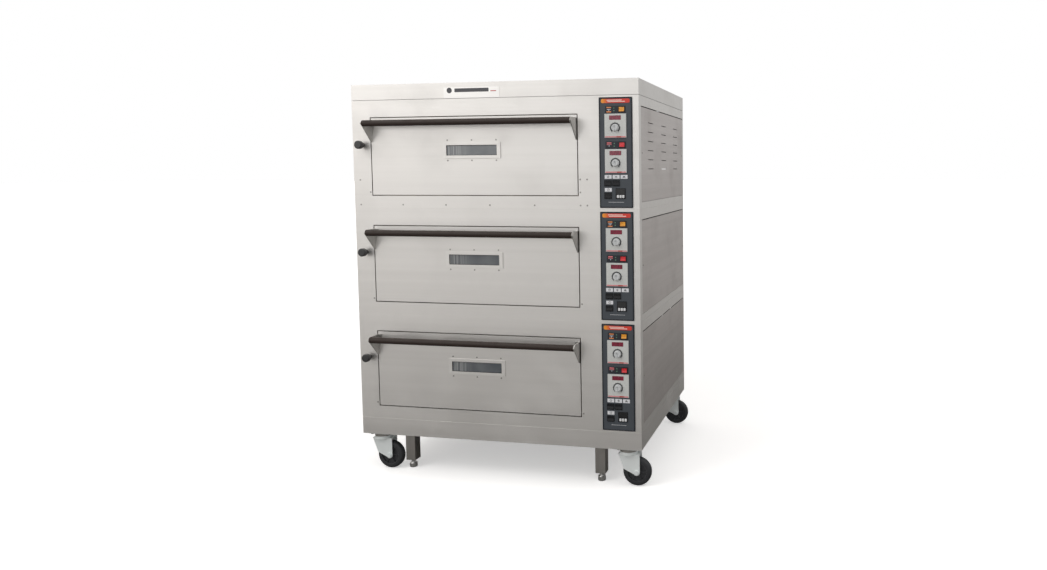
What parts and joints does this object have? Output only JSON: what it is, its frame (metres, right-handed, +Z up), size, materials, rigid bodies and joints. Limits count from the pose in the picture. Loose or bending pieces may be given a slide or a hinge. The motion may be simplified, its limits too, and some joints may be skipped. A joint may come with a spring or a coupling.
{
  "type": "deck oven",
  "caption": "Electric deck oven on casters: stacked stainless baking decks with drop-down windowed doors, bar handles and a control panel beside each.",
  "frame": {"origin": "middle of the whole outline, handles, outlets and casters included, on the floor", "axes": "+Z up, doors face -Y, +X to the right of a person facing the doors"},
  "size_m": [1.3322, 1.0312, 1.729],
  "materials": {
    "stainless_sheet": "satin brushed stainless sheet",
    "panel_grey": "dark grey printed control panel",
    "grip_brown": "dark brown heat-resistant grip",
    "oven_glass": "clear heat-resistant glass",
    "knob_black": "black moulded plastic",
    "dial_grey": "light grey moulded plastic",
    "lens_amber": "amber translucent plastic",
    "lens_red": "red translucent plastic",
    "rocker_black": "black moulded plastic",
    "zinc_plate": "bright zinc plate",
    "wheel_rubber": "black solid rubber",
    "chamber_steel": "aluminised steel, dulled by heat",
    "hearth_iron": "dark scaled plate",
    "element_sheath": "dark oxidised metal sheath",
    "mineral_fibre": "loose mineral fibre",
    "gear_plastic": "pale grey moulded plastic",
    "fastener_steel": "plain steel screw heads"
  },
  "bodies": {
    "cabinet": {"baking_chambers": "chamber_steel", "base_frame": "stainless_sheet", "deck1_casing": "stainless_sheet", "deck1_control_panel": "panel_grey", "deck2_casing": "stainless_sheet", "deck2_control_panel": "panel_grey", "deck3_casing": "stainless_sheet", "deck3_control_panel": "panel_grey", "electrical_gear": "gear_plastic", "fasteners": "fastener_steel", "hearth_plates": "hearth_iron", "heating_elements": "element_sheath", "insulation": "mineral_fibre", "side_covers": "stainless_sheet", "top_cover": "stainless_sheet"},
    "deck1_door": {"deck1_door_leaf": "stainless_sheet", "deck1_door_handle": "grip_brown", "deck1_window_glass": "oven_glass"},
    "deck1_damper": {"deck1_damper": "knob_black"},
    "deck1_dial_top_heat": {"deck1_dial_top_heat": "dial_grey"},
    "deck1_dial_bottom_heat": {"deck1_dial_bottom_heat": "dial_grey"},
    "deck1_rocker_top_heat": {"deck1_rocker_top_heat": "lens_amber"},
    "deck1_rocker_bottom_heat": {"deck1_rocker_bottom_heat": "lens_red"},
    "deck1_rocker_power": {"deck1_rocker_power": "rocker_black"},
    "deck1_rocker_lamp": {"deck1_rocker_lamp": "rocker_black"},
    "deck1_rocker_timer": {"deck1_rocker_timer": "rocker_black"},
    "deck2_door": {"deck2_door_leaf": "stainless_sheet", "deck2_door_handle": "grip_brown", "deck2_window_glass": "oven_glass"},
    "deck2_damper": {"deck2_damper": "knob_black"},
    "deck2_dial_top_heat": {"deck2_dial_top_heat": "dial_grey"},
    "deck2_dial_bottom_heat": {"deck2_dial_bottom_heat": "dial_grey"},
    "deck2_rocker_top_heat": {"deck2_rocker_top_heat": "lens_amber"},
    "deck2_rocker_bottom_heat": {"deck2_rocker_bottom_heat": "lens_red"},
    "deck2_rocker_power": {"deck2_rocker_power": "rocker_black"},
    "deck2_rocker_lamp": {"deck2_rocker_lamp": "rocker_black"},
    "deck2_rocker_timer": {"deck2_rocker_timer": "rocker_black"},
    "deck3_door": {"deck3_door_leaf": "stainless_sheet", "deck3_door_handle": "grip_brown", "deck3_window_glass": "oven_glass"},
    "deck3_damper": {"deck3_damper": "knob_black"},
    "deck3_dial_top_heat": {"deck3_dial_top_heat": "dial_grey"},
    "deck3_dial_bottom_heat": {"deck3_dial_bottom_heat": "dial_grey"},
    "deck3_rocker_top_heat": {"deck3_rocker_top_heat": "lens_amber"},
    "deck3_rocker_bottom_heat": {"deck3_rocker_bottom_heat": "lens_red"},
    "deck3_rocker_power": {"deck3_rocker_power": "rocker_black"},
    "deck3_rocker_lamp": {"deck3_rocker_lamp": "rocker_black"},
    "deck3_rocker_timer": {"deck3_rocker_timer": "rocker_black"},
    "caster_fork_front_left": {"caster_fork_front_left": "zinc_plate"},
    "caster_wheel_front_left": {"caster_wheel_front_left": "wheel_rubber"},
    "foot_front_left": {"foot_front_left": "zinc_plate"},
    "caster_fork_front_right": {"caster_fork_front_right": "zinc_plate"},
    "caster_wheel_front_right": {"caster_wheel_front_right": "wheel_rubber"},
    "foot_front_right": {"foot_front_right": "zinc_plate"},
    "caster_fork_rear_left": {"caster_fork_rear_left": "zinc_plate"},
    "caster_wheel_rear_left": {"caster_wheel_rear_left": "wheel_rubber"},
    "foot_rear_left": {"foot_rear_left": "zinc_plate"},
    "caster_fork_rear_right": {"caster_fork_rear_right": "zinc_plate"},
    "caster_wheel_rear_right": {"caster_wheel_rear_right": "wheel_rubber"},
    "foot_rear_right": {"foot_rear_right": "zinc_plate"}
  },
  "joints": [
    {"name": "deck1_door_hinge", "type": "hinge", "parent": "cabinet", "child": "deck1_door", "pos_m": [-0.10245, -0.42515, 1.261], "axis": [1, 0, 0], "range_deg": [0, 90]},
    {"name": "deck1_damper_slide", "type": "slide", "parent": "cabinet", "child": "deck1_damper", "axis": [0, -1, 0], "range_m": [0, 0.06]},
    {"name": "deck1_dial_top_heat_turn", "type": "hinge", "parent": "cabinet", "child": "deck1_dial_top_heat", "pos_m": [0.53655, -0.44415, 1.527], "axis": [0, 1, 0], "range_deg": [0, 300]},
    {"name": "deck1_dial_bottom_heat_turn", "type": "hinge", "parent": "cabinet", "child": "deck1_dial_bottom_heat", "pos_m": [0.53655, -0.44415, 1.382], "axis": [0, 1, 0], "range_deg": [0, 300]},
    {"name": "deck1_rocker_top_heat_tilt", "type": "hinge", "parent": "cabinet", "child": "deck1_rocker_top_heat", "pos_m": [0.56405, -0.43615, 1.6015], "axis": [1, 0, 0], "range_deg": [0, 14]},
    {"name": "deck1_rocker_bottom_heat_tilt", "type": "hinge", "parent": "cabinet", "child": "deck1_rocker_bottom_heat", "pos_m": [0.56405, -0.43615, 1.4565], "axis": [1, 0, 0], "range_deg": [0, 14]},
    {"name": "deck1_rocker_power_tilt", "type": "hinge", "parent": "cabinet", "child": "deck1_rocker_power", "pos_m": [0.50255, -0.43615, 1.2995], "axis": [1, 0, 0], "range_deg": [0, 14]},
    {"name": "deck1_rocker_lamp_tilt", "type": "hinge", "parent": "cabinet", "child": "deck1_rocker_lamp", "pos_m": [0.53755, -0.43615, 1.2995], "axis": [1, 0, 0], "range_deg": [0, 14]},
    {"name": "deck1_rocker_timer_tilt", "type": "hinge", "parent": "cabinet", "child": "deck1_rocker_timer", "pos_m": [0.50255, -0.43615, 1.2475], "axis": [1, 0, 0], "range_deg": [0, 14]},
    {"name": "deck2_door_hinge", "type": "hinge", "parent": "cabinet", "child": "deck2_door", "pos_m": [-0.10245, -0.42515, 0.789], "axis": [1, 0, 0], "range_deg": [0, 90]},
    {"name": "deck2_damper_slide", "type": "slide", "parent": "cabinet", "child": "deck2_damper", "axis": [0, -1, 0], "range_m": [0, 0.06]},
    {"name": "deck2_dial_top_heat_turn", "type": "hinge", "parent": "cabinet", "child": "deck2_dial_top_heat", "pos_m": [0.53655, -0.44415, 1.055], "axis": [0, 1, 0], "range_deg": [0, 300]},
    {"name": "deck2_dial_bottom_heat_turn", "type": "hinge", "parent": "cabinet", "child": "deck2_dial_bottom_heat", "pos_m": [0.53655, -0.44415, 0.91], "axis": [0, 1, 0], "range_deg": [0, 300]},
    {"name": "deck2_rocker_top_heat_tilt", "type": "hinge", "parent": "cabinet", "child": "deck2_rocker_top_heat", "pos_m": [0.56405, -0.43615, 1.1295], "axis": [1, 0, 0], "range_deg": [0, 14]},
    {"name": "deck2_rocker_bottom_heat_tilt", "type": "hinge", "parent": "cabinet", "child": "deck2_rocker_bottom_heat", "pos_m": [0.56405, -0.43615, 0.9845], "axis": [1, 0, 0], "range_deg": [0, 14]},
    {"name": "deck2_rocker_power_tilt", "type": "hinge", "parent": "cabinet", "child": "deck2_rocker_power", "pos_m": [0.50255, -0.43615, 0.8275], "axis": [1, 0, 0], "range_deg": [0, 14]},
    {"name": "deck2_rocker_lamp_tilt", "type": "hinge", "parent": "cabinet", "child": "deck2_rocker_lamp", "pos_m": [0.53755, -0.43615, 0.8275], "axis": [1, 0, 0], "range_deg": [0, 14]},
    {"name": "deck2_rocker_timer_tilt", "type": "hinge", "parent": "cabinet", "child": "deck2_rocker_timer", "pos_m": [0.50255, -0.43615, 0.7755], "axis": [1, 0, 0], "range_deg": [0, 14]},
    {"name": "deck3_door_hinge", "type": "hinge", "parent": "cabinet", "child": "deck3_door", "pos_m": [-0.10245, -0.42515, 0.317], "axis": [1, 0, 0], "range_deg": [0, 90]},
    {"name": "deck3_damper_slide", "type": "slide", "parent": "cabinet", "child": "deck3_damper", "axis": [0, -1, 0], "range_m": [0, 0.06]},
    {"name": "deck3_dial_top_heat_turn", "type": "hinge", "parent": "cabinet", "child": "deck3_dial_top_heat", "pos_m": [0.53655, -0.44415, 0.583], "axis": [0, 1, 0], "range_deg": [0, 300]},
    {"name": "deck3_dial_bottom_heat_turn", "type": "hinge", "parent": "cabinet", "child": "deck3_dial_bottom_heat", "pos_m": [0.53655, -0.44415, 0.438], "axis": [0, 1, 0], "range_deg": [0, 300]},
    {"name": "deck3_rocker_top_heat_tilt", "type": "hinge", "parent": "cabinet", "child": "deck3_rocker_top_heat", "pos_m": [0.56405, -0.43615, 0.6575], "axis": [1, 0, 0], "range_deg": [0, 14]},
    {"name": "deck3_rocker_bottom_heat_tilt", "type": "hinge", "parent": "cabinet", "child": "deck3_rocker_bottom_heat", "pos_m": [0.56405, -0.43615, 0.5125], "axis": [1, 0, 0], "range_deg": [0, 14]},
    {"name": "deck3_rocker_power_tilt", "type": "hinge", "parent": "cabinet", "child": "deck3_rocker_power", "pos_m": [0.50255, -0.43615, 0.3555], "axis": [1, 0, 0], "range_deg": [0, 14]},
    {"name": "deck3_rocker_lamp_tilt", "type": "hinge", "parent": "cabinet", "child": "deck3_rocker_lamp", "pos_m": [0.53755, -0.43615, 0.3555], "axis": [1, 0, 0], "range_deg": [0, 14]},
    {"name": "deck3_rocker_timer_tilt", "type": "hinge", "parent": "cabinet", "child": "deck3_rocker_timer", "pos_m": [0.50255, -0.43615, 0.3035], "axis": [1, 0, 0], "range_deg": [0, 14]},
    {"name": "caster_swivel_front_left", "type": "hinge", "parent": "cabinet", "child": "caster_fork_front_left", "pos_m": [-0.59445, -0.38715, 0.152], "axis": [0, 0, 1], "continuous": true},
    {"name": "caster_roll_front_left", "type": "hinge", "parent": "caster_fork_front_left", "child": "caster_wheel_front_left", "pos_m": [-0.55645, -0.38715, 0.0625], "axis": [0, 1, 0], "continuous": true},
    {"name": "foot_screw_front_left", "type": "slide", "parent": "cabinet", "child": "foot_front_left", "axis": [0, 0, 1], "range_m": [0, 0.012]},
    {"name": "caster_swivel_front_right", "type": "hinge", "parent": "cabinet", "child": "caster_fork_front_right", "pos_m": [0.56555, -0.38715, 0.152], "axis": [0, 0, 1], "continuous": true},
    {"name": "caster_roll_front_right", "type": "hinge", "parent": "caster_fork_front_right", "child": "caster_wheel_front_right", "pos_m": [0.60355, -0.38715, 0.0625], "axis": [0, 1, 0], "continuous": true},
    {"name": "foot_screw_front_right", "type": "slide", "parent": "cabinet", "child": "foot_front_right", "axis": [0, 0, 1], "range_m": [0, 0.012]},
    {"name": "caster_swivel_rear_left", "type": "hinge", "parent": "cabinet", "child": "caster_fork_rear_left", "pos_m": [-0.59445, 0.43285, 0.152], "axis": [0, 0, 1], "continuous": true},
    {"name": "caster_roll_rear_left", "type": "hinge", "parent": "caster_fork_rear_left", "child": "caster_wheel_rear_left", "pos_m": [-0.55645, 0.43285, 0.0625], "axis": [0, 1, 0], "continuous": true},
    {"name": "foot_screw_rear_left", "type": "slide", "parent": "cabinet", "child": "foot_rear_left", "axis": [0, 0, 1], "range_m": [0, 0.012]},
    {"name": "caster_swivel_rear_right", "type": "hinge", "parent": "cabinet", "child": "caster_fork_rear_right", "pos_m": [0.56555, 0.43285, 0.152], "axis": [0, 0, 1], "continuous": true},
    {"name": "caster_roll_rear_right", "type": "hinge", "parent": "caster_fork_rear_right", "child": "caster_wheel_rear_right", "pos_m": [0.60355, 0.43285, 0.0625], "axis": [0, 1, 0], "continuous": true},
    {"name": "foot_screw_rear_right", "type": "slide", "parent": "cabinet", "child": "foot_rear_right", "axis": [0, 0, 1], "range_m": [0, 0.012]}
  ]
}
